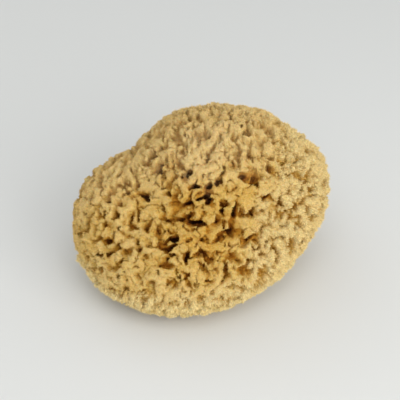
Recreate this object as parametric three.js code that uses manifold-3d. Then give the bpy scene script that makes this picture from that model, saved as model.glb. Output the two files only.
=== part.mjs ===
// A natural bath sponge, dried and cut flat from the rock that it grew on.
//
// It is one grown piece, so it is one solid: a lobed mass, taller at the back and right, whose skin
// is parted into woolly tufts, with the larger water outlets (oscula) sunk between them.
//
// Millimetres, +Z up. The origin is the middle of the cut foot, on the surface that the sponge
// stands on. X runs along its length, and -Y is the side with most of the oscula.

import * as THREE from "three";
import { ConvexGeometry } from "three/addons/geometries/ConvexGeometry.js";
import { mergeVertices } from "three/addons/utils/BufferGeometryUtils.js";
import Module from "manifold-3d";

// ---------------------------------------------------------------- driving dimensions

// The swellings that make up the mass, as ellipsoids: centre and half-axes.
const LOBES = [
  { name: "crown", at: [8, 10, 48], radii: [53, 53, 51] },
  { name: "left shoulder", at: [-40, -2, 37], radii: [35, 40, 36] },
  { name: "front cushion", at: [-16, -18, 26], radii: [51, 44, 32] },
  { name: "right shoulder", at: [39, 14, 48], radii: [37, 46, 43] },
  { name: "front foot", at: [2, -15, 28], radii: [50, 42, 30] },
  { name: "rear foot", at: [8, 10, 27], radii: [52, 44, 31] },
];
const BLEND = 14; // how softly one swelling runs into the next

const HEART = [0, 0, 45]; // the point that the sponge grew outwards from

const TUFT_COUNT = 470; // tufts over the whole skin, before the foot is cut
const TUFT_SPREAD = [1.14, 1.02, 0.88]; // crowds the tufts towards the long ends, evening them out
const TUFT_NUDGE = 1.5; // how far a tuft strays from an even spread, as a share of its width
const TUFT_TOP = 0.68; // width of a tuft's top as a share of its root's
const TUFT_DOME = 1.0; // how far the middle of a top stands above its rim
const CLEFT_DEPTH = 4.2; // from the top of a tuft to the bottom of the clefts around it

// The large outlets: bearing from the front (positive to the right) and height above the heart's
// level, both in degrees. Each takes the place of the tuft nearest to it.
const OSCULA = [
  { bearing: -17, height: 60 },
  { bearing: -64, height: 52 },
  { bearing: 10, height: 51 },
  { bearing: -55, height: 33 },
  { bearing: -4, height: 25 },
  { bearing: -18, height: 13 },
  { bearing: 28, height: 30 },
  { bearing: 20, height: 16 },
  { bearing: 36, height: 9 },
  { bearing: -54, height: 4 },
  { bearing: -67, height: 18 },
  { bearing: 46, height: 48 },
  { bearing: 5, height: -7 },
  { bearing: 150, height: 58 },
  { bearing: -140, height: 40 },
  { bearing: 120, height: 34 },
];
const OSCULUM_DEPTH = 9; // below the tops of the tufts around it
const OSCULUM_FLOOR = 0.5; // width of its floor as a share of its mouth's

const CUT_SIDE = 300; // of the block of rock that the foot is cut from
const CUT_DEPTH = 100;

// ---------------------------------------------------------------- the smooth mass

const lobes = LOBES.map(({ at, radii }) => ({
  at: new THREE.Vector3(...at),
  radii: new THREE.Vector3(...radii),
}));
const heart = new THREE.Vector3(...HEART);

// About how far a point is outside an ellipsoid, negative inside it.
function outsideLobe(point, { at, radii }) {
  const scaled = point.clone().sub(at).divide(radii);
  const level = scaled.length();
  const slope = scaled.divide(radii).length();
  return (level * (level - 1)) / Math.max(slope, 1e-9);
}

// The smaller of two distances, rounded off over a width where they are nearly equal.
function softMin(a, b, width) {
  const share = THREE.MathUtils.clamp(0.5 + (0.5 * (b - a)) / width, 0, 1);
  return THREE.MathUtils.lerp(b, a, share) - width * share * (1 - share);
}

function outsideMass(point) {
  return lobes
    .map((lobe) => outsideLobe(point, lobe))
    .reduce((a, b) => softMin(a, b, BLEND));
}

// How far the mass reaches from the heart in a direction, found by halving.
function reach(direction) {
  let inside = 0;
  let outside = 150;
  for (let step = 0; step < 24; step++) {
    const middle = (inside + outside) / 2;
    const point = heart.clone().addScaledVector(direction, middle);
    if (outsideMass(point) < 0) inside = middle;
    else outside = middle;
  }
  return inside;
}

// The point of the sponge in a direction from the heart, sunk below the smooth mass.
function skinPoint(direction, sunk) {
  return heart.clone().addScaledVector(direction, reach(direction) - sunk);
}

// ---------------------------------------------------------------- the tufts

// Where the tufts stand, as directions from the heart: evenly spread in a spiral, each nudged a
// little so that no two are alike.
function tuftDirections() {
  const golden = Math.PI * (3 - Math.sqrt(5));
  const spread = new THREE.Vector3(...TUFT_SPREAD);
  return Array.from({ length: TUFT_COUNT }, (_, i) => {
    const height = 1 - (2 * i + 1) / TUFT_COUNT;
    const ring = Math.sqrt(1 - height * height);
    const nudge = new THREE.Vector3(
      Math.sin(12.9 * i),
      Math.sin(78.2 * i + 1),
      Math.sin(37.7 * i + 2),
    );
    return new THREE.Vector3(ring * Math.cos(golden * i), ring * Math.sin(golden * i), height)
      .addScaledVector(nudge, TUFT_NUDGE / Math.sqrt(TUFT_COUNT))
      .multiply(spread)
      .normalize();
  });
}

// The tuft that stands nearest to a direction.
function nearestTuft(tufts, direction) {
  return tufts.reduce((best, tuft) => (tuft.dot(direction) > best.dot(direction) ? tuft : best));
}

// The corners where three tufts meet, gathered by tuft. The hull of the directions joins each tuft
// to its neighbours with triangles, and every triangle marks one such corner.
function cornersByTuft(tufts) {
  const around = new Map(tufts.map((tuft) => [tuft, []]));
  const hull = new ConvexGeometry(tufts).attributes.position;
  for (let i = 0; i < hull.count; i += 3) {
    const three = [0, 1, 2].map((k) => new THREE.Vector3().fromBufferAttribute(hull, i + k));
    const corner = new THREE.Triangle(...three).getNormal(new THREE.Vector3());
    three.forEach((point) => around.get(nearestTuft(tufts, point)).push(corner));
  }
  return tufts.map((tuft) => inOrder(tuft, around.get(tuft)));
}

// The corners of a tuft in their order round it, counter-clockwise from outside.
function inOrder(tuft, corners) {
  const across = new THREE.Vector3().crossVectors(tuft, corners[0]).normalize();
  const along = new THREE.Vector3().crossVectors(across, tuft);
  const turn = (corner) => Math.atan2(corner.dot(across), corner.dot(along));
  return [...corners].sort((a, b) => turn(a) - turn(b));
}

function directionOf({ bearing, height }) {
  const turn = THREE.MathUtils.degToRad(bearing);
  const rise = THREE.MathUtils.degToRad(height);
  return new THREE.Vector3(
    Math.sin(turn) * Math.cos(rise),
    -Math.cos(turn) * Math.cos(rise),
    Math.sin(rise),
  );
}

// The tufts whose places are taken by oscula.
function osculumTufts(tufts) {
  return new Set(OSCULA.map((osculum) => nearestTuft(tufts, directionOf(osculum))));
}

// One tuft as triangles: steep sides up from the clefts, then a low dome. An osculum is the same
// shape turned inwards.
function tuftTriangles(tuft, corners, isOsculum) {
  const share = isOsculum ? OSCULUM_FLOOR : TUFT_TOP;
  const sunk = isOsculum ? OSCULUM_DEPTH : TUFT_DOME;
  const root = corners.map((corner) => skinPoint(corner, CLEFT_DEPTH));
  const rim = corners.map((corner) => {
    const towards = tuft.clone().lerp(corner, share).normalize();
    return skinPoint(towards, sunk);
  });
  const middle = skinPoint(tuft, isOsculum ? OSCULUM_DEPTH + TUFT_DOME : 0);
  return corners.flatMap((_, i) => {
    const next = (i + 1) % corners.length;
    return [
      [root[i], root[next], rim[next]],
      [root[i], rim[next], rim[i]],
      [rim[i], rim[next], middle],
    ];
  });
}

// ---------------------------------------------------------------- the solid

const wasm = await Module();
wasm.setup();

function toSolid(geometry) {
  geometry.deleteAttribute("normal");
  geometry.deleteAttribute("uv");
  const merged = mergeVertices(geometry, 1e-4);
  return new wasm.Manifold(
    new wasm.Mesh({
      numProp: 3,
      vertProperties: new Float32Array(merged.attributes.position.array),
      triVerts: new Uint32Array(merged.index.array),
    }),
  );
}

function toGeometry(solid) {
  const { numProp, numVert, vertProperties, triVerts } = solid.getMesh();
  const positions = new Float32Array(numVert * 3);
  for (let i = 0; i < numVert; i++) {
    positions.set(vertProperties.subarray(i * numProp, i * numProp + 3), i * 3);
  }
  const geometry = new THREE.BufferGeometry()
    .setAttribute("position", new THREE.BufferAttribute(positions, 3))
    .setIndex(new THREE.BufferAttribute(new Uint32Array(triVerts), 1));
  geometry.computeVertexNormals();
  return geometry;
}

// The whole skin, tuft by tuft, closed underneath too.
function grownSkin() {
  const tufts = tuftDirections();
  const corners = cornersByTuft(tufts);
  const oscula = osculumTufts(tufts);
  const triangles = tufts.flatMap((tuft, i) =>
    tuftTriangles(tuft, corners[i], oscula.has(tuft)),
  );
  return new THREE.BufferGeometry().setFromPoints(triangles.flat());
}

// The block of rock that the foot is cut from, with its top face at the origin's height.
function rock() {
  return new THREE.BoxGeometry(CUT_SIDE, CUT_SIDE, CUT_DEPTH).translate(0, 0, -CUT_DEPTH / 2);
}

const sponge = new THREE.Mesh(
  toGeometry(toSolid(grownSkin()).subtract(toSolid(rock()))),
  new THREE.MeshStandardMaterial({ color: 0xc9a262, roughness: 0.95, metalness: 0 }),
);
sponge.name = "sponge";

const part = new THREE.Group();
part.add(sponge);
export default part;
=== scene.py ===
# %% [markdown]
# # A natural sea sponge
# A bath sponge is the dried skeleton of a sea animal. It is one springy mass of fine fibre
# (spongin), parted at the surface into woolly tufts, with larger outlets (oscula) sunk between
# them, and it is cut flat underneath where it grew on rock.
#
# Nothing on it is assembled, so there is one main piece, the sponge itself, and a coat of loose
# fibre ends that stand off its skin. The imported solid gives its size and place.

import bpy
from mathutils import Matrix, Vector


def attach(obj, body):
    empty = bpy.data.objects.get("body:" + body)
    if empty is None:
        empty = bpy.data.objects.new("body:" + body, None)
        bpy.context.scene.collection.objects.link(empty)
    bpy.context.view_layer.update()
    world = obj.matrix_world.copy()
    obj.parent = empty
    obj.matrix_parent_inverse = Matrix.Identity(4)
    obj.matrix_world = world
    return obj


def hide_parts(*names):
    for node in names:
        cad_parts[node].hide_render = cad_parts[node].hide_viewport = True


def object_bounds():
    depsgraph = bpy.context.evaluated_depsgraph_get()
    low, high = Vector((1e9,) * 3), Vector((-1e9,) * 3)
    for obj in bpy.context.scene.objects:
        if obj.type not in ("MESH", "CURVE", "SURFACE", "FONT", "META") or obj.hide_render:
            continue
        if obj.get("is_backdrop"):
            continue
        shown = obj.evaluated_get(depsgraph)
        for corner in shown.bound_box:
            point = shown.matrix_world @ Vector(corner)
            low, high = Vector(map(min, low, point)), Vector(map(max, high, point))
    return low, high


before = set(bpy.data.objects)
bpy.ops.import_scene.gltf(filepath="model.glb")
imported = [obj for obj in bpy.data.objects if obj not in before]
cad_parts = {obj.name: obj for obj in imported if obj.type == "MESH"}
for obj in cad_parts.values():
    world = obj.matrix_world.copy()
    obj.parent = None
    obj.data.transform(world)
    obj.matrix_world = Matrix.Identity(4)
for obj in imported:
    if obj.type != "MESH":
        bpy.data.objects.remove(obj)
cad_low, cad_high = (corner.copy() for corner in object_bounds())
print("solid's box, mm:", [round(1000 * side) for side in cad_high - cad_low])

# %% Tools used throughout
import math

import bmesh
import bpy
import numpy as np
from mathutils import Vector

MM = 0.001  # everything below is given in millimetres and made in metres

# %% [markdown]
# ## The smooth mass
# Before it has any tufts, the sponge is a few swellings that run into each other. Each is an
# ellipsoid, and a soft minimum of their distances blends them. This could be sculpted by hand, but
# six ellipsoids are easier to read and to change. Every point of it can be seen from the heart, so
# a ball of points pushed out along their own directions makes a clean skin.

# %% Blend the swellings
SWELLINGS = {  # centre and half-axes, mm
    "crown": ((8, 10, 48), (53, 53, 51)),
    "left shoulder": ((-40, -2, 37), (35, 40, 36)),
    "front cushion": ((-16, -18, 26), (51, 44, 32)),
    "right shoulder": ((39, 14, 48), (37, 46, 43)),
    "front foot": ((2, -15, 28), (50, 42, 30)),
    "rear foot": ((8, 10, 27), (52, 44, 31)),
}
BLEND = 14  # mm over which one swelling runs into the next
HEART = np.array([0.0, 0.0, 45.0])  # the point it grew outwards from
FARTHEST = 150.0  # mm from the heart, well outside the mass
HALVINGS = 24  # enough to find the skin to a hundred-thousandth of a millimetre


def outside_swelling(points, centre, half_axes):
    """About how far points are outside an ellipsoid, negative inside it."""
    scaled = (points - np.array(centre)) / np.array(half_axes)
    level = np.linalg.norm(scaled, axis=-1)
    slope = np.linalg.norm(scaled / np.array(half_axes), axis=-1)
    return level * (level - 1) / np.maximum(slope, 1e-9)


def outside_mass(points):
    """About how far points are outside the blended mass."""
    distances = [outside_swelling(points, *shape) for shape in SWELLINGS.values()]
    nearest = distances[0]
    for other in distances[1:]:
        share = np.clip(0.5 + 0.5 * (other - nearest) / BLEND, 0, 1)
        nearest = other * (1 - share) + nearest * share - BLEND * share * (1 - share)
    return nearest


def reach(directions):
    """Where the mass ends in each direction from the heart, found by halving."""
    inside, outside = np.zeros(len(directions)), np.full(len(directions), FARTHEST)
    for _ in range(HALVINGS):
        middle = (inside + outside) / 2
        within = outside_mass(HEART + directions * middle[:, None]) < 0
        inside, outside = np.where(within, middle, inside), np.where(within, outside, middle)
    return HEART + directions * inside[:, None]


# %% Make the smooth skin
SKIN_SPLITS = 6  # times the ball's triangles are split in four


def new_object(name, mesh):
    thing = bpy.data.objects.new(name, mesh)
    bpy.context.scene.collection.objects.link(thing)
    return thing


def smooth_skin():
    ball = bmesh.new()
    bmesh.ops.create_icosphere(ball, subdivisions=SKIN_SPLITS, radius=1)
    skin = bpy.data.meshes.new("smooth_skin")
    ball.to_mesh(skin)
    ball.free()
    directions = np.empty(len(skin.vertices) * 3)
    skin.vertices.foreach_get("co", directions)
    directions = directions.reshape(-1, 3)
    directions /= np.linalg.norm(directions, axis=1)[:, None]
    skin.vertices.foreach_set("co", (reach(directions) * MM).ravel())
    skin.update()
    return new_object("smooth_skin", skin)


skin = smooth_skin()
print("smooth skin, mm:", [round(1000 * side) for side in skin.dimensions])

# %% [markdown]
# ## The outlets
# Water leaves a living sponge through its oscula. Dried, they are dark slots and pits, most of them
# on one side. Each is laid out here as a small card standing edge-on in the skin, as long as the
# slot and as deep as the pit, and the sponge is later hollowed out all round the card. A round pit
# is simply a very narrow card.

# %% Lay out the outlets
# Bearing from the front and height above the heart's level (degrees), length of the slot (mm), its
# turn from level (degrees), half its width (mm) and its depth (mm).
OUTLETS = [
    (-17, 60, 7, 10, 2.8, 14), (-64, 52, 10, 90, 2.1, 10), (10, 51, 6, 40, 2.1, 12),
    (-55, 33, 10, 0, 1.6, 10), (-4, 25, 12, 0, 2.1, 13), (-18, 14, 7, 20, 2.6, 12),
    (-19, 9, 10, 40, 1.7, 10), (-8, 5, 9, 90, 1.6, 10), (28, 30, 10, 80, 1.6, 11),
    (20, 18, 6, 0, 2.0, 10), (35, 10, 7, 0, 2.1, 8), (-54, 4, 7, 0, 2.8, 8),
    (-67, 20, 6, 20, 1.6, 8), (-67, 14, 8, 150, 1.5, 8), (45, 49, 8, 0, 2.5, 8),
    (51, 31, 9, 40, 1.6, 8), (-7, 50, 8, 20, 1.7, 12), (5, -7, 6, 0, 1.3, 6),
    (-7, -4, 6, 60, 1.3, 6), (-86, 54, 9, 70, 1.6, 8), (0, 42, 9, 15, 1.5, 12),
    (8, 40, 6, 70, 1.6, 12), (-12, 38, 8, 30, 1.4, 10),
    (150, 58, 8, 30, 2.0, 9), (-140, 40, 7, 80, 1.8, 9), (120, 34, 9, 60, 1.6, 8),
    (100, 5, 6, 10, 1.8, 8), (-160, 5, 8, 40, 1.6, 8), (-110, 10, 7, 0, 1.7, 8),
    (175, 30, 7, 75, 1.8, 9), (60, -12, 6, 30, 1.7, 7),
]


def direction_of(bearing, height):
    """The unit vector at a bearing from the front and a height above level, in degrees."""
    turn, rise = math.radians(bearing), math.radians(height)
    return np.array([
        math.sin(turn) * math.cos(rise), -math.cos(turn) * math.cos(rise), math.sin(rise),
    ])


def outward_at(point):
    """The way the smooth mass faces at a point."""
    steps = np.eye(3) * 0.5
    slope = outside_mass(point + steps) - outside_mass(point - steps)
    return slope / np.linalg.norm(slope)


CARD_ABOVE = 3  # mm that a card stands out of the skin
CARD_TAPER = 0.6  # length of its foot, as a share of its mouth
FOOT_RADIUS = 0.65  # half-width of the pit's foot, as a share of its mouth
NARROWEST = 0.15  # mm, half the length of a round pit's card


def outlet_card(bearing, height, length, turn, half_width, depth):
    """The corners of one card and the radius that is hollowed out round each."""
    mouth = reach(direction_of(bearing, height)[None])[0]
    outward = outward_at(mouth)
    level = np.cross((0, 0, 1), outward)
    level /= np.linalg.norm(level)
    upright = np.cross(outward, level)
    along = level * math.cos(math.radians(turn)) + upright * math.sin(math.radians(turn))
    half = max(length / 2 - half_width, NARROWEST)
    top, bottom = mouth + outward * CARD_ABOVE, mouth - outward * depth
    corners = [top - along * half, top + along * half,
               bottom + along * half * CARD_TAPER, bottom - along * half * CARD_TAPER]
    return corners, [half_width] * 2 + [half_width * FOOT_RADIUS] * 2


def outlet_cards():
    """Every card in one mesh, with the radius round it kept at each corner."""
    corners, radii = [], []
    for outlet in OUTLETS:
        card_corners, card_radii = outlet_card(*outlet)
        corners += card_corners
        radii += card_radii
    mesh = bpy.data.meshes.new("outlets")
    faces = [tuple(range(first, first + 4)) for first in range(0, len(corners), 4)]
    mesh.from_pydata([tuple(corner * MM) for corner in corners], [], faces)
    mesh.attributes.new("radius", "FLOAT", "POINT").data.foreach_set("value", radii)
    return new_object("outlets", mesh)


outlets = outlet_cards()
print("outlets:", len(OUTLETS))

# %% [markdown]
# ## A shorthand for node trees
# Geometry Nodes do the growing, since they can work out a whole block of space at once and stay
# easy to change. A tree is a list of small sums, so a few helpers keep each sum to one line: `sum`,
# `vector`, `ramp`, `blend` and `noise` add one node each, and take numbers or the outputs of other
# nodes. The same could be wired up by hand in the node editor.


# %% Helpers that add one node each
class Tree:
    """A Geometry Nodes tree under construction."""

    def __init__(self, name):
        self.group = bpy.data.node_groups.new(name, "GeometryNodeTree")
        self.group.is_modifier = True
        self.start = self.group.nodes.new("NodeGroupInput")
        self.end = self.group.nodes.new("NodeGroupOutput")
        self.group.interface.new_socket("Geometry", in_out="OUTPUT", socket_type="NodeSocketGeometry")

    def input(self, name, kind="Float"):
        self.group.interface.new_socket(name, in_out="INPUT", socket_type="NodeSocket" + kind)
        return self.start.outputs[name]

    def plug(self, value, socket):
        if isinstance(value, bpy.types.NodeSocket):
            self.group.links.new(value, socket)
        else:
            socket.default_value = value

    def node(self, kind, out=0, settings=None, **inputs):
        """A node of any kind; inputs are named with _ for a space."""
        made = self.group.nodes.new(kind)
        for name, value in (settings or {}).items():
            setattr(made, name, value)
        for name, value in inputs.items():
            self.plug(value, made.inputs[name.replace("_", " ")])
        return made if out is None else made.outputs[out]

    def sum(self, operation, *values):
        made = self.group.nodes.new("ShaderNodeMath")
        made.operation = operation
        for value, socket in zip(values, made.inputs):
            self.plug(value, socket)
        return made.outputs[0]

    def vector(self, operation, *values, by=None):
        made = self.group.nodes.new("ShaderNodeVectorMath")
        made.operation = operation
        for value, socket in zip(values, made.inputs):
            self.plug(value, socket)
        if by is not None:
            self.plug(by, made.inputs["Scale"])
        return made.outputs["Value" if operation == "DISTANCE" else "Vector"]

    def ramp(self, value, low, high, at_low=0.0, at_high=1.0, kind="SMOOTHSTEP"):
        """Runs from at_low to at_high while value runs from low to high."""
        made = self.group.nodes.new("ShaderNodeMapRange")
        made.interpolation_type = kind
        for number, socket in zip((value, low, high, at_low, at_high), made.inputs):
            self.plug(number, socket)
        return made.outputs[0]

    def blend(self, share, here, there):
        """The value here where share is 0, and the value there where it is 1."""
        made = self.group.nodes.new("ShaderNodeMix")
        for number, socket in zip((share, here, there), (made.inputs[i] for i in (0, 2, 3))):
            self.plug(number, socket)
        return made.outputs[0]

    def noise(self, place, width, detail=0.0, ragged=0.5, out="Fac", apart=0.0):
        """Soft random lumps of a width in mm; apart tells one pattern from another."""
        away = self.sum("ADD", self.start.outputs["Seed"], apart)
        moved = self.vector("ADD", place, self.vector("SCALE", (3.17, 1.71, 0.53), by=away))
        scale = self.sum("DIVIDE", 1.0, width)
        return self.node("ShaderNodeTexNoise", out, Vector=moved, Scale=scale,
                         Detail=detail, Roughness=ragged)

    def stray(self, place, width, far, detail=0.0, apart=0.0):
        """A random shift of up to half of far, mm, in every direction."""
        shift = self.noise(place, width, detail, out="Color", apart=apart)
        return self.vector("SCALE", self.vector("SUBTRACT", shift, (0.5, 0.5, 0.5)), by=far)

    def finish(self, geometry, material):
        """Ends the tree in Realize Instances and Set Material."""
        real = self.node("GeometryNodeRealizeInstances", Geometry=geometry)
        painted = self.node("GeometryNodeSetMaterial", Geometry=real, Material=material)
        self.group.links.new(painted, self.end.inputs["Geometry"])
        print(self.group.name, "nodes:", len(self.group.nodes))


def grow(host, tree, name, **inputs):
    """Runs a tree on a host object, and returns the result as a plain mesh object."""
    modifier = host.modifiers.new(tree.group.name, "NODES")
    modifier.node_group = tree.group
    identifiers = {item.name: item.identifier for item in tree.group.interface.items_tree
                   if item.in_out == "INPUT"}
    for label, value in inputs.items():
        modifier[identifiers[label.replace("_", " ")]] = value
    depsgraph = bpy.context.evaluated_depsgraph_get()
    mesh = bpy.data.meshes.new_from_object(host.evaluated_get(depsgraph))
    host.modifiers.remove(modifier)
    return new_object(name, mesh)


# %% [markdown]
# ## Colour and finish of the fibre
# Dry spongin is a straw yellow that bleaches to cream at the tips, where light reaches. So colour goes
# by depth: further down, a tree leaves `depth`, in mm below the smooth skin, at every point of the
# sponge, and one colour ramp turns it into straw, gold and brown; the gold and brown down in the clefts
# are partly the fibre's own colour and partly painted shade. It also leaves shares from 0 to 1:
# `bleached` for the pale fringe and for painted light low down, and `dusty` for the crown, which are
# mixed in here, and `fringe` and `matted`, which the coat of fibre ends uses. The surface is matt, and
# lets a little light through, warmer the further it goes.


# %% Helpers for materials
def linear(red, green, blue):
    """A colour as it looks on screen, 0 to 255, in the linear light that shaders use."""
    parts = [part / 255 for part in (red, green, blue)]
    return [part / 12.92 if part < 0.04045 else ((part + 0.055) / 1.055) ** 2.4
            for part in parts] + [1]


class Finish:
    """A material under construction."""

    def __init__(self, name):
        self.material = bpy.data.materials.new(name)
        self.material.use_nodes = True
        self.nodes = self.material.node_tree.nodes
        self.links = self.material.node_tree.links
        self.shader = self.nodes["Principled BSDF"]

    def node(self, kind, out=0, settings=None, inputs=None):
        made = self.nodes.new(kind)
        for name, value in (settings or {}).items():
            setattr(made, name, value)
        for name, value in (inputs or {}).items():
            self.plug(value, made.inputs[name])
        return made.outputs[out]

    def plug(self, value, socket):
        if isinstance(value, bpy.types.NodeSocket):
            self.links.new(value, socket)
        else:
            socket.default_value = value

    def attribute(self, name):
        return self.node("ShaderNodeAttribute", "Fac", {"attribute_name": name})

    def place(self):
        return self.node("ShaderNodeTexCoord", "Object")

    def noise(self, width, detail=0.0, ragged=0.5):
        return self.node("ShaderNodeTexNoise", "Fac", None,
                         {"Vector": self.place(), "Scale": 1 / (width * MM),
                          "Detail": detail, "Roughness": ragged})

    def ramp(self, value, low, high, at_low=0.0, at_high=1.0):
        return self.node("ShaderNodeMapRange", 0, {"interpolation_type": "SMOOTHSTEP"},
                         {0: value, 1: low, 2: high, 3: at_low, 4: at_high})

    def colours(self, value, stops):
        made = self.nodes.new("ShaderNodeValToRGB")
        marks = made.color_ramp.elements
        while len(marks) < len(stops):
            marks.new(0.5)
        for mark, (position, colour) in zip(marks, stops):
            mark.position, mark.color = position, linear(*colour)
        self.plug(value, made.inputs[0])
        return made.outputs[0]

    def mix(self, share, here, there):
        made = self.nodes.new("ShaderNodeMix")
        made.data_type = "RGBA"
        for value, socket in zip((share, here, there), (made.inputs[i] for i in (0, 6, 7))):
            self.plug(value, socket)
        return made.outputs[2]

    def sum(self, operation, *values):
        made = self.nodes.new("ShaderNodeMath")
        made.operation = operation
        for value, socket in zip(values, made.inputs):
            self.plug(value, socket)
        return made.outputs[0]

    def bump(self, height, far, below=None):
        made = self.nodes.new("ShaderNodeBump")
        made.inputs["Distance"].default_value = far * MM
        self.plug(height, made.inputs["Height"])
        if below is not None:
            self.plug(below, made.inputs["Normal"])
        return made.outputs[0]


# %% Mix the sponge's finish
DEEPEST = 12.0  # mm, where the colour ramp ends

# Colours from the tips down: straw at the top is the fibre's own, and the gold and brown further down
# are partly its own colour and partly painted shade in the clefts.
SPONGIN_AND_CLEFT_SHADE = [
    (0.00, (223, 192, 123)),
    (0.20, (214, 176, 94)),
    (0.42, (198, 144, 50)),
    (0.72, (154, 92, 16)),
    (1.00, (90, 42, 3)),
]
# The pale colour: the fringe's own paler fibre, and painted light low down on the sponge.
BLEACHED_AND_PAINTED_LIGHT = (232, 212, 156)
DUST = (230, 202, 144)
BLOTCHES = (11, 5.0)  # their width, and how much deeper or shallower they make it look, mm
SPECKLES = (1.1, 4.0)
# The pale share makes places look shallower and paler: paler fibre on the fringe, painted light low
# down.
BLEACHED_AND_LIT_DEPTH = -0.6  # how much deeper bleached fibre looks, mm
PALE_DOWN_TO = 4.0  # mm
PALEST = 0.95  # the share of the bleached colour at the tips
DUSTIEST = 0.65  # the share of dust where it is thickest


def spongin(name):
    """Fibre coloured by its depth, with painted shade down in the clefts, a little unevenly, with
    bleached and dusty places, and painted light low down.
    """
    finish = Finish(name)
    depth = finish.attribute("depth")
    blotch = finish.noise(BLOTCHES[0], 2, 0.6)
    speckle = finish.noise(SPECKLES[0], 1, 0.6)
    seen = finish.sum("MULTIPLY_ADD", finish.sum("SUBTRACT", blotch, 0.5), BLOTCHES[1], depth)
    seen = finish.sum("MULTIPLY_ADD", finish.sum("SUBTRACT", speckle, 0.5), SPECKLES[1], seen)
    # Paler fibre on the fringe, and painted light low down, look shallower and take the pale colour near
    # the tips.
    seen = finish.sum("MULTIPLY_ADD", finish.attribute("bleached"), BLEACHED_AND_LIT_DEPTH, seen)
    # Painted shade: the deeper a place, the darker its colour, down to brown at DEEPEST.
    colour = finish.colours(finish.sum("DIVIDE", seen, DEEPEST), SPONGIN_AND_CLEFT_SHADE)
    pale = finish.ramp(depth, PALE_DOWN_TO, 0.0, 0.0, PALEST)
    colour = finish.mix(finish.sum("MULTIPLY", finish.attribute("bleached"), pale),
                        colour, linear(*BLEACHED_AND_PAINTED_LIGHT))
    colour = finish.mix(finish.sum("MULTIPLY", finish.attribute("dusty"), DUSTIEST),
                        colour, linear(*DUST))
    finish.plug(colour, finish.shader.inputs["Base Color"])
    shader = finish.shader.inputs
    shader["Roughness"].default_value = 0.95
    shader["Specular IOR Level"].default_value = 0.04
    shader["Sheen Weight"].default_value = 0.05
    shader["Sheen Tint"].default_value = (1.0, 0.8, 0.5, 1.0)
    shader["Sheen Roughness"].default_value = 0.6
    shader["Subsurface Weight"].default_value = 0.3
    shader["Subsurface Radius"].default_value = (1.0, 0.5, 0.18)
    shader["Subsurface Scale"].default_value = 1.5 * MM
    return finish


# %% Add the weave of the fibre
WEAVE = (0.55, 0.7)  # width and height of its finest bumps, mm
NAP = (1.6, 0.9)  # and of the larger ones


def sponge_finish():
    finish = spongin("spongin_fibre")
    weave = finish.bump(finish.noise(WEAVE[0], 2, 0.7), WEAVE[1])
    nap = finish.bump(finish.noise(NAP[0], 1, 0.5), NAP[1], weave)
    finish.plug(nap, finish.shader.inputs["Normal"])
    return finish.material


DARKEST_END, LIGHTEST_END = 0.78, 1.13  # how much light they give back, against the sponge's 1


def fibre_finish():
    """The same colours for the loose ends, each a little lighter or darker than the next."""
    finish = spongin("spongin_ends")
    base = finish.shader.inputs["Base Color"]
    colour = base.links[0].from_socket
    shade = finish.ramp(finish.attribute("shade"), 0.0, 1.0, DARKEST_END, LIGHTEST_END)
    finish.plug(finish.node("ShaderNodeVectorMath", 0, {"operation": "SCALE"},
                            {"Vector": colour, "Scale": shade}), base)
    finish.shader.inputs["Subsurface Weight"].default_value = 0.0
    return finish.material


sponge_material = sponge_finish()
fibre_material = fibre_finish()

# %% [markdown]
# ## Growing the tufts
# The skin is folded far too deeply to push a flat surface into: tufts overhang and clefts turn
# under them. So the tree fills a block of space with a number that is positive inside the sponge
# and negative outside it, and draws the surface where the number is zero.
#
# For each point it finds the nearest point of the smooth skin. Random lumps are then read at a
# place that is only a third as deep as the point really is, which stretches them into the sponge,
# and that is what makes tufts stand up straight from the mass with steep clefts between them.

# %% Find each point's depth
growth = Tree("sponge growth")
smooth = growth.input("Geometry", "Geometry")
cards = growth.input("Outlets", "Object")
grain = growth.input("Grain")
ridge_width = growth.input("Ridge width")
lump_width = growth.input("Lump width")
knob_height = growth.input("Knob height")
growth.input("Seed")


def in_mm(tree, place):
    return tree.vector("SCALE", place, by=1 / MM)


point = in_mm(growth, growth.node("GeometryNodeInputPosition"))
nearest = in_mm(growth, growth.node("GeometryNodeProximity", "Position", Target=smooth))
heart = tuple(HEART)
side = growth.sum("SIGN", growth.sum(
    "SUBTRACT",
    growth.vector("DISTANCE", nearest, heart),
    growth.vector("DISTANCE", point, heart),
))
depth = growth.sum("MULTIPLY", growth.vector("DISTANCE", point, nearest), side)


def stretched(share):
    """The point with its depth cut to a share, so that a pattern read there runs inwards."""
    inwards = growth.vector("SUBTRACT", point, nearest)
    return growth.vector("ADD", nearest, growth.vector("SCALE", inwards, by=share))


# %% [markdown]
# ## The regions of the surface
# The side with the outlets has broad, star-shaped tufts. Round it, on the flanks, low down and at the
# back, they are finer and paler, like a fringe; low down, the paler colour is painted light. The crown
# is worn and matted into long flaps.
# Each region is a share from 0 to 1. It could be painted on by hand, but a rule is easier to move,
# and random drift keeps its border from showing as a line.

# %% Mark out the fringe
where = growth.node("ShaderNodeSeparateXYZ", None, Vector=nearest).outputs
DRIFT_WIDTH, DRIFT = 16, 40.0  # mm: how wide the drifts are, and twice as far as they reach
drift = growth.sum("SUBTRACT", growth.noise(nearest, DRIFT_WIDTH, 1), 0.5)
drift = growth.sum("MULTIPLY", drift, DRIFT)


def drifting(value, share=1.0):
    """A measure in mm that strays, so that a border drawn on it is uneven."""
    return growth.sum("MULTIPLY_ADD", drift, share, value)


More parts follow.
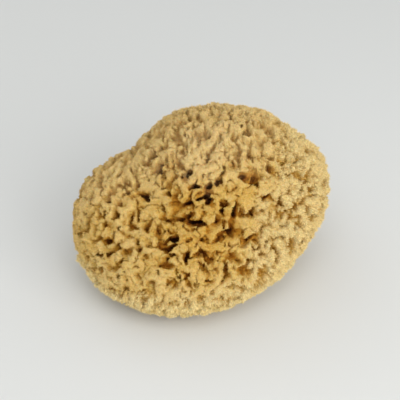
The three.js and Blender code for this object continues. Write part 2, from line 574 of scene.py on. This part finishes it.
FLANK = (8, 30)  # mm to the right, over which stars turn into fringe, low down
FLANK_SLANT = -0.25  # each mm up, that starts a quarter of a millimetre further right
LOW_DOWN = (18, 38)  # mm up, over which fringe turns into stars
BEHIND = (20, 45)  # mm to the back, over which stars turn into fringe
flank = growth.ramp(drifting(growth.sum("MULTIPLY_ADD", where[2], FLANK_SLANT, where[0])), *FLANK)
low_down = growth.ramp(drifting(where[2], 0.6), *LOW_DOWN, 1.0, 0.0)
behind = growth.ramp(drifting(where[1]), *BEHIND)
fringe = growth.sum("MAXIMUM", growth.sum("MAXIMUM", flank, low_down), behind)
FRINGE_BLEACHED = 0.75  # against 1 low down, where the paler colour is painted light
# Low down the sponge is painted paler in full, as painted light; on the fringe the fibre itself is
# paler.
bleached = growth.sum("MAXIMUM", growth.sum("MULTIPLY", fringe, FRINGE_BLEACHED), low_down)

# %% Mark out the crown
CROWN = (64, 80)  # mm up, over which flaps begin in the middle
CROWN_SLANT = -0.3  # each mm to the right, they begin this much higher
CROWN_FRONT = (-30, -8)  # mm to the back, likewise
matted = growth.sum(
    "MULTIPLY",
    growth.ramp(growth.sum("MULTIPLY_ADD", where[0], CROWN_SLANT, where[2]), *CROWN),
    growth.ramp(drifting(where[1], 0.35), *CROWN_FRONT),
)
matted = growth.sum("MULTIPLY", matted, growth.sum("SUBTRACT", 1.0, flank))

# %% Mark out the dusty, aged and worn places
DUSTY_PATCH = (2, -10, 94)  # where the crown was handled most, mm
OUTLET_FIELD = (1, -41, 66)  # the middle of the side with the outlets, mm
WORN_SHOULDER = (60, 38, 80)  # a shoulder at the back, rubbed lower than the skin, mm
DUSTY_REACH = (30, 12)  # mm from its middle, where it starts and where it is full
OUTLET_REACH = (36, 10)
WORN_REACH = (28, 6)
RUBBED = 6.0  # mm off the shoulder
CROWN_DUST = 0.7  # on the rest of the crown, against 1 on the patch
dusty = growth.ramp(drifting(growth.vector("DISTANCE", nearest, DUSTY_PATCH), 0.5), *DUSTY_REACH)
dusty = growth.sum("MAXIMUM", dusty, growth.sum("MULTIPLY", matted, CROWN_DUST))
aged = growth.ramp(drifting(growth.vector("DISTANCE", nearest, OUTLET_FIELD), 0.5), *OUTLET_REACH)
rubbed = growth.ramp(growth.vector("DISTANCE", nearest, WORN_SHOULDER), *WORN_REACH, 0.0, RUBBED)
depth = growth.sum("SUBTRACT", depth, rubbed)


def by_region(stars, fringed, flaps):
    """One value for each kind of surface, blended where the regions meet."""
    return growth.blend(matted, growth.blend(fringe, stars, fringed), flaps)


# %% [markdown]
# ## Tufts and clefts
# On the real sponge the tufts are walls of fibre that wind, fork and meet in stars. A noise folded
# at its middle value does the same: it is high along thin winding lines. Rounder noise is added
# for the lumps between them. Where the sum is low a cleft is cut, steep-sided and with an uneven
# floor, and where it is high the tuft stands a little above the skin.

# %% Bend the space they are read in
# Tufts sway by up to 3 mm from upright, and their sides stray by about half a millimetre. On the
# crown the space is drawn out backwards and down, as it is combed, and on the flanks down only.
UPRIGHT, THIN = 0.35, 0.22  # shares of its depth that a tuft of each kind is read at
upright = stretched(UPRIGHT)
bent = growth.vector("ADD", growth.vector("ADD", upright, growth.stray(upright, 9, 6, 1)),
                     growth.stray(point, 3, 1.2, apart=2))
thin = growth.vector("ADD", growth.vector("ADD", stretched(THIN),
                                          growth.stray(upright, 6, 3.5, 1, apart=3)),
                     growth.stray(point, 2.5, 1.0, apart=4))
COMBED, HANGING = (1.0, 0.45, 0.5), (1.0, 1.0, 0.55)
combed = growth.vector("MULTIPLY", bent, COMBED)
hanging = growth.vector("MULTIPLY", thin, HANGING)


# %% Patterns of ridges, clefts and lumps
def folded(place, width, apart):
    """Nothing along thin winding lines, and more away from them."""
    wave = growth.noise(place, width, 1.0, 0.5, apart=apart)
    return growth.sum("ABSOLUTE", growth.sum("SUBTRACT", wave, 0.5))


def winding_ridges(place, share, apart):
    """High along thin winding ridges, low between them; share is of the ridge width."""
    width = growth.sum("MULTIPLY", ridge_width, share)
    return growth.sum("MULTIPLY_ADD", folded(place, width, apart), -1.2, 0.58)


def winding_clefts(place, share, apart):
    """Low along thin winding clefts, high between them; share is of the ridge width."""
    width = growth.sum("MULTIPLY", ridge_width, share)
    return growth.sum("MULTIPLY_ADD", folded(place, width, apart), 1.6, 0.38)


def ragged_lumps(place, share, apart):
    """Rough lumps, high and low; share is of the lump width."""
    width = growth.sum("MULTIPLY", lump_width, share)
    return growth.sum("SUBTRACT", growth.noise(place, width, 2.5, 0.6, apart=apart), 0.5)


# %% Raise the tufts
ridges = by_region(winding_ridges(bent, 1.0, 61), winding_clefts(thin, 0.9, 67),
                   winding_ridges(combed, 0.65, 71))
fringe_lumps = growth.blend(low_down, ragged_lumps(hanging, 0.85, 13), ragged_lumps(thin, 0.6, 15))
lumps = by_region(ragged_lumps(bent, 1.0, 5), fringe_lumps, ragged_lumps(combed, 0.7, 21))
raised = growth.sum("MULTIPLY_ADD", lumps, by_region(0.9, 1.2, 0.9), ridges)
TIP = (0.5, 0.9)  # raised by this much, a tuft starts to stand out, and stands out fully
highest = by_region(1.5, 2.0, 2.5)  # mm above the skin
crest = growth.ramp(raised, *TIP, 0.0, highest, "LINEAR")
FOOT = (2, 20)  # mm up, over which the tips grow out from the cut
crest = growth.sum("MULTIPLY", crest, growth.ramp(where[2], *FOOT))

# %% Cut the clefts
# Raised by less than the floor, a place is at the bottom of a cleft, and by more than the edge, it
# is on a tuft. The closer the two are, the steeper the side.
cleft_floor = by_region(0.37, 0.384, 0.395)
cleft_edge = by_region(0.46, 0.512, 0.495)
sunk = growth.ramp(raised, cleft_floor, cleft_edge, 1.0, 0.0, "LINEAR")
floor_level = growth.ramp(growth.noise(stretched(0.6), 2.8, 1, apart=29), 0.3, 0.65, 0.55, 1.15)
deepest = by_region(9.0, growth.blend(low_down, 6.7, 4.2), 5.6)  # mm
cleft_depth = growth.sum("MULTIPLY", growth.sum("MULTIPLY", sunk, floor_level), deepest)

# %% Crack and knob them
crease = growth.sum("ABSOLUTE", growth.sum("SUBTRACT", growth.noise(bent, 6.5, apart=31), 0.5))
CRACK_SHARE = 0.03  # of the noise, which makes a crack a hair wide
crack_depth = growth.ramp(crease, 0.0, CRACK_SHARE, by_region(4.0, 2.5, 3.0), 0.0)
cleft_depth = growth.sum("MAXIMUM", cleft_depth, crack_depth)
# Low waves, mostly dips, keep the mass from looking cast.
level = growth.sum("SUBTRACT", growth.noise(nearest, 10, 1, apart=37), 0.7)
uneven = growth.sum("MULTIPLY", level, by_region(4.0, 3.8, 3.5))
knob = growth.sum("SUBTRACT", growth.noise(stretched(0.8), 1.6, 1.5, 0.65, apart=41), 0.45)
knobs = growth.sum("MULTIPLY", knob, growth.sum("MULTIPLY", knob_height, by_region(0.7, 1.0, 1.0)))
fill = growth.sum("ADD", growth.sum("SUBTRACT", depth, cleft_depth),
                  growth.sum("ADD", growth.sum("ADD", knobs, crest), uneven))

# %% [markdown]
# ## Hollows
# An outlet is everything nearer to its card than the radius kept there, so the fill is cut down to
# that distance. Underneath, the knife that took the sponge off its rock also opened the canals that
# run up through it. They are a noise drawn out upwards, cut a few millimetres deep.

# %% Hollow the outlets
wall = growth.vector("ADD", point, growth.stray(point, 5, 5, 1, apart=47))
wall_m = growth.vector("SCALE", wall, by=MM)
cards_mesh = growth.node("GeometryNodeObjectInfo", "Geometry", Object=cards)
gap = growth.node("GeometryNodeProximity", "Distance", Target=cards_mesh, Source_Position=wall_m)
radius_there = growth.node("GeometryNodeInputNamedAttribute", 0, {"data_type": "FLOAT"}, Name="radius")
radius = growth.node("GeometryNodeSampleNearestSurface", 0, {"data_type": "FLOAT"},
                     Mesh=cards_mesh, Value=radius_there, Sample_Position=wall_m)
outlet_gap = growth.sum("SUBTRACT", growth.sum("MULTIPLY", gap, 1 / MM), radius)
STEEPNESS = 1.6  # how much faster the fill grows outside an outlet than the gap does
fill = growth.sum("MINIMUM", fill, growth.sum("MULTIPLY", outlet_gap, STEEPNESS))

# %% Cut the foot flat and open its canals
CANAL_WIDTH, CANAL_DEPTH = 3.4, 6.0  # mm
height = growth.node("ShaderNodeSeparateXYZ", 2, Vector=point)
along_canals = growth.vector("MULTIPLY",
                             growth.vector("ADD", point, growth.stray(point, 6, 3, apart=81)),
                             (1.0, 1.0, 0.3))
canals = growth.noise(along_canals, CANAL_WIDTH, 1.5, 0.6, apart=83)
CANAL_EDGE = (0.52, 0.60)  # below the first is fibre, and above the second a canal
canal_wall = growth.ramp(canals, *CANAL_EDGE, 2.0, -2.0, "LINEAR")
canal_wall = growth.sum("MAXIMUM", canal_wall, growth.sum("SUBTRACT", height, CANAL_DEPTH))
fill = growth.sum("MINIMUM", growth.sum("MINIMUM", fill, height), canal_wall)

# %% Say how deep each place looks
AGED_BY, OUTLET_SHADE_BY = 2.0, 2.2  # mm that old fibre, and the walls of outlets, look deeper than they are
CUT_LOOK = 3.0  # the cut is as pale as fibre this deep, mm
# Painted shade: the walls of outlets take the darker colour of fibre further down.
in_outlet = growth.sum("MULTIPLY", growth.ramp(outlet_gap, 1.8, 0.0), growth.ramp(depth, 1, 4))
aged_and_shaded_depth = growth.sum("MULTIPLY_ADD", in_outlet, OUTLET_SHADE_BY,
                       growth.sum("MULTIPLY_ADD", aged, AGED_BY, depth))
cut = growth.ramp(height, 1.2, 0.3)
shown_depth = growth.blend(cut, aged_and_shaded_depth, growth.sum("MINIMUM", aged_and_shaded_depth, CUT_LOOK))

# %% [markdown]
# ## From fill to surface
# The block is filled in steps of the grain and the surface is drawn through it, which gives about
# half a million faces. Loose crumbs are deleted, and then the surface is thinned to what one piece
# may have, which keeps the most triangles where it bends most.

# %% Draw the surface
BLOCK_LOW = np.array([-84.0, -72.0, -3.0])  # mm
BLOCK_HIGH = np.array([84.0, 72.0, 107.0])
OUTSIDE = -5.0  # fill beyond the block
SMALLEST_ISLAND = 20_000  # points; anything smaller is a crumb
block = growth.node("GeometryNodeVolumeCube", None, Density=fill, Background=OUTSIDE,
                    Min=tuple(BLOCK_LOW * MM), Max=tuple(BLOCK_HIGH * MM))
for axis, span in zip("XYZ", BLOCK_HIGH - BLOCK_LOW):
    steps = growth.sum("DIVIDE", float(span), grain)
    growth.plug(steps, block.inputs["Resolution " + axis])
surface = growth.node("GeometryNodeVolumeToMesh", 0, {"resolution_mode": "GRID"},
                      Volume=block.outputs[0], Threshold=0.0)
island = growth.node("GeometryNodeInputMeshIsland", "Island Index")
island_size = growth.node("GeometryNodeAccumulateField", "Total", {"data_type": "INT"},
                          Value=1, Group_ID=island)
crumb = growth.node("FunctionNodeCompare", 0, {"data_type": "INT", "operation": "LESS_THAN"},
                    A=island_size, B=SMALLEST_ISLAND)
surface = growth.node("GeometryNodeDeleteGeometry", 0, {"domain": "POINT"},
                      Geometry=surface, Selection=crumb)
for mark, value in {"depth": shown_depth, "fringe": fringe, "matted": matted, "dusty": dusty,
                    "bleached": bleached}.items():
    surface = growth.node("GeometryNodeStoreNamedAttribute", 0,
                          {"data_type": "FLOAT", "domain": "POINT"},
                          Geometry=surface, Name=mark, Value=value)
growth.finish(surface, sponge_material)

# %% Grow the sponge
SPONGE_TRIANGLES = 196_000  # triangles the sponge is thinned to; as many as a piece may have, less a little


def thinned(piece, triangles):
    """The piece with about that many triangles, kept where the surface bends most."""
    thinning = piece.modifiers.new("thinning", "DECIMATE")
    thinning.use_collapse_triangulate = True
    thinning.ratio = triangles / sum(len(face.vertices) - 2 for face in piece.data.polygons)
    depsgraph = bpy.context.evaluated_depsgraph_get()
    mesh = bpy.data.meshes.new_from_object(piece.evaluated_get(depsgraph))
    name = piece.name
    bpy.data.objects.remove(piece)
    return new_object(name, mesh)


GRAIN, QUICK_GRAIN = 0.66, 0.8  # mm between the points the fill is worked out at
sponge = grow(skin, growth, "sponge_body", Outlets=outlets, Grain=GRAIN,
              Ridge_width=9.5, Lump_width=4.2, Knob_height=0.9, Seed=0.0)
grown_faces = len(sponge.data.polygons)
sponge = thinned(sponge, SPONGE_TRIANGLES)
sponge.data.shade_smooth()
print("sponge:", grown_faces, "faces grown,", len(sponge.data.polygons), "kept")

# %% [markdown]
# ## The coat of fibre ends
# Up close the skin isn't smooth: ends of broken fibre stand off it everywhere, and they make its
# outline soft. Some are single fibres and some are little wicks of many fibres stuck together. Each
# is a spike of four triangles. They are scattered over the tufts, thickest towards the tips, and
# lean between the way their bit of skin faces and straight out from the heart, so that on the pale
# flanks, where they are long, they read as feathering.


# %% Make one fibre end
ROOT_DEPTH = 0.15  # how far its root sinks into the skin, as a share of its length


def spike():
    """A closed spike of unit length and width, which each fibre end scales to its own size."""
    corners = [(0.5 * math.cos(turn), 0.5 * math.sin(turn), -ROOT_DEPTH)
               for turn in (0, math.tau / 3, 2 * math.tau / 3)]
    mesh = bpy.data.meshes.new("fibre_end")
    mesh.from_pydata(corners + [(0, 0, 1)], [], [(0, 2, 1), (0, 1, 3), (1, 2, 3), (2, 0, 3)])
    return new_object("fibre_end", mesh)


# %% Scatter the fibre ends
coat = Tree("fibre ends")
coated = coat.input("Geometry", "Geometry")
fibre = coat.input("Fibre", "Object")
density = coat.input("Density")
longest = coat.input("Length")
thickness = coat.input("Thickness")
disorder = coat.input("Disorder")
coat_seed = coat.input("Seed", "Int")


def mark_of(tree, name):
    """A mark that the sponge's own tree left on its surface."""
    return tree.node("GeometryNodeInputNamedAttribute", 0, {"data_type": "FLOAT"}, Name=name)


def random(tree, low, high, seed, kind="FLOAT"):
    """A random number, or vector, between two others, for each end."""
    made = tree.node("FunctionNodeRandomValue", None, {"data_type": kind})
    low_high = [socket for socket in made.inputs if socket.enabled and socket.name in ("Min", "Max")]
    for value, socket in zip((low, high), low_high):
        socket.default_value = value
    tree.plug(seed, next(s for s in made.inputs if s.enabled and s.name == "Seed"))
    return next(socket for socket in made.outputs if socket.enabled)


# All of them grow down to half a millimetre, a tenth from 7 mm down, and none on the cut.
shallow = coat.ramp(mark_of(coat, "depth"), 7.0, 0.5, 0.1, 1.0)
place = coat.node("GeometryNodeInputPosition")
off_foot = coat.ramp(coat.node("ShaderNodeSeparateXYZ", 2, Vector=place), 0.5 * MM, 2.5 * MM)
thick_there = coat.sum("MULTIPLY", density, coat.sum("MULTIPLY", shallow, off_foot))
scattered = coat.node("GeometryNodeDistributePointsOnFaces", None, {"distribute_method": "RANDOM"},
                      Mesh=coated, Density=thick_there, Seed=coat_seed)

# %% Turn each its own way
outward = coat.vector("NORMALIZE", coat.vector("SUBTRACT", place, tuple(HEART * MM)))
any_way = random(coat, (-1,) * 3, (1,) * 3, coat_seed, "FLOAT_VECTOR")
lean = coat.vector("SCALE", any_way, by=disorder)
BRUSHED = (0.0, -0.8, -0.8)  # forwards and down, on the crown
brushed = coat.vector("SCALE", BRUSHED, by=mark_of(coat, "matted"))
stands = coat.vector("ADD", coat.vector("ADD", scattered.outputs["Normal"], outward),
                     coat.vector("ADD", lean, brushed))
turned = coat.node("FunctionNodeAlignRotationToVector", 0, {"axis": "Z"}, Vector=stands)

# %% Give each its size
AWAY_FROM_FRINGE = 0.65  # how long and thick the ends are there, against the fringe's 1
NEAR_FLOOR = 0.5  # and how long at the cut
in_fringe = coat.ramp(mark_of(coat, "fringe"), 0.0, 1.0, AWAY_FROM_FRINGE, 1.0)
off_floor = coat.ramp(coat.node("ShaderNodeSeparateXYZ", 2, Vector=place), 0.0, 15 * MM, NEAR_FLOOR, 1.0)
longest_here = coat.sum("MULTIPLY", longest, coat.sum("MULTIPLY", in_fringe, off_floor))
length_here = coat.sum("MULTIPLY", longest_here, random(coat, 0.4, 1.0, coat_seed))
thickness_here = coat.sum("MULTIPLY", thickness, in_fringe)
size = coat.node("ShaderNodeCombineXYZ", 0, X=thickness_here, Y=thickness_here, Z=length_here)

# %% Stand them on the skin
ends = coat.node("GeometryNodeInstanceOnPoints", 0, Points=scattered.outputs["Points"],
                 Instance=coat.node("GeometryNodeObjectInfo", "Geometry", Object=fibre),
                 Rotation=turned, Scale=size)
ends = coat.node("GeometryNodeStoreNamedAttribute", 0, {"data_type": "FLOAT", "domain": "INSTANCE"},
                 Geometry=ends, Name="shade", Value=random(coat, 0.0, 1.0, coat_seed))
ends = coat.node("GeometryNodeRealizeInstances", Geometry=ends)
LOWEST = (-1.0, -1.0, 0.0)  # metres: nothing reaches below the floor
ends = coat.node("GeometryNodeSetPosition", Geometry=ends,
                 Position=coat.vector("MAXIMUM", place, LOWEST))
coat.finish(ends, fibre_material)

# %% Grow the coat
# It is in four pieces, each with nearly as many triangles as a piece may have: wicks from slender to
# stubby, and single long fibres.
DENSITY = 0.6 / MM**2  # ends on a square metre
COATS = {
    "wicks_1": dict(Length=1.8 * MM, Thickness=0.6 * MM, Disorder=0.7, Seed=1),
    "wicks_2": dict(Length=1.6 * MM, Thickness=0.8 * MM, Disorder=0.9, Seed=2),
    "fibre_ends": dict(Length=2.8 * MM, Thickness=0.2 * MM, Disorder=1.2, Seed=3),
    "wicks_3": dict(Length=1.3 * MM, Thickness=1.0 * MM, Disorder=1.6, Seed=4),
}
end = spike()
coats = []
for name, sizes in COATS.items():
    piece = grow(sponge, coat, name, Fibre=end, Density=DENSITY, **sizes)
    coats.append(piece)
    print(name, "triangles:", len(piece.data.polygons))

# %% Put the helpers away
for helper in (skin, outlets, end):
    bpy.data.objects.remove(helper)

# %% Fix the pieces to the solid
for piece in [sponge] + coats:
    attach(piece, "root")
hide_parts("sponge")

# %% [markdown]
# ## Floor, light and camera
# A plain pale floor, as in a studio. Daylight comes as one large soft light from the front right,
# with a weaker one above and a low reflector in front, so that shadows under the tufts stay brown
# and not black. A faint light from behind lifts the outline, and a pale room fills in all round.


# %% Lay the floor
def plain_finish(name, colour, roughness):
    finish = Finish(name)
    finish.shader.inputs["Base Color"].default_value = linear(*colour)
    finish.shader.inputs["Roughness"].default_value = roughness
    return finish.material


def floor():
    half = 3  # metres
    mesh = bpy.data.meshes.new("floor")
    mesh.from_pydata([(-half, -half, 0), (half, -half, 0), (half, half, 0), (-half, half, 0)], [],
                     [(0, 1, 2, 3)])
    mesh.materials.append(plain_finish("pale_floor", (221, 222, 221), 0.8))
    return new_object("floor", mesh)


floor()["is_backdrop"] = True


# %% Light it
LIT_POINT = (0, 0, 0.04)  # what every light faces


def soft_light(name, place, size, power, colour):
    """A square light of a size in metres and a power in watts."""
    lamp = bpy.data.lights.new(name, "AREA")
    lamp.size, lamp.energy, lamp.color = size, power, colour
    stand = new_object(name, lamp)
    stand.location = place
    facing = Vector(LIT_POINT) - stand.location
    stand.rotation_euler = facing.to_track_quat("-Z", "Y").to_euler()


soft_light("window", (0.80, -0.80, 0.69), 0.9, 6.6, (1, 0.985, 0.96))
soft_light("ceiling", (0, -0.65, 1.17), 0.9, 3.4, (1, 1, 1))
soft_light("reflector", (0.20, -0.95, 0.30), 0.8, 3.2, (1, 0.99, 0.96))
soft_light("behind_left", (-0.80, 0.80, 0.69), 0.9, 1.2, (1, 1, 1))

# %% Fill in from all round
room = bpy.data.worlds.new("room")
room.use_nodes = True
room.node_tree.nodes["Background"].inputs["Color"].default_value = (0.985, 1, 0.99, 1)
room.node_tree.nodes["Background"].inputs["Strength"].default_value = 0.62
bpy.context.scene.world = room
bpy.context.scene.view_settings.view_transform = "Standard"

# %% Set up the camera
ELEVATION = math.radians(38)
DISTANCE = 0.59  # metres
AIM = Vector((0, 0.0035, 0.046))
camera = bpy.data.cameras.new("camera")
camera.lens = 90  # mm
camera.clip_start = 0.01
tripod = new_object("camera", camera)
tripod.location = AIM + DISTANCE * Vector((0, -math.cos(ELEVATION), math.sin(ELEVATION)))
tripod.rotation_euler = (math.pi / 2 - ELEVATION, 0, 0)
bpy.context.scene.camera = tripod
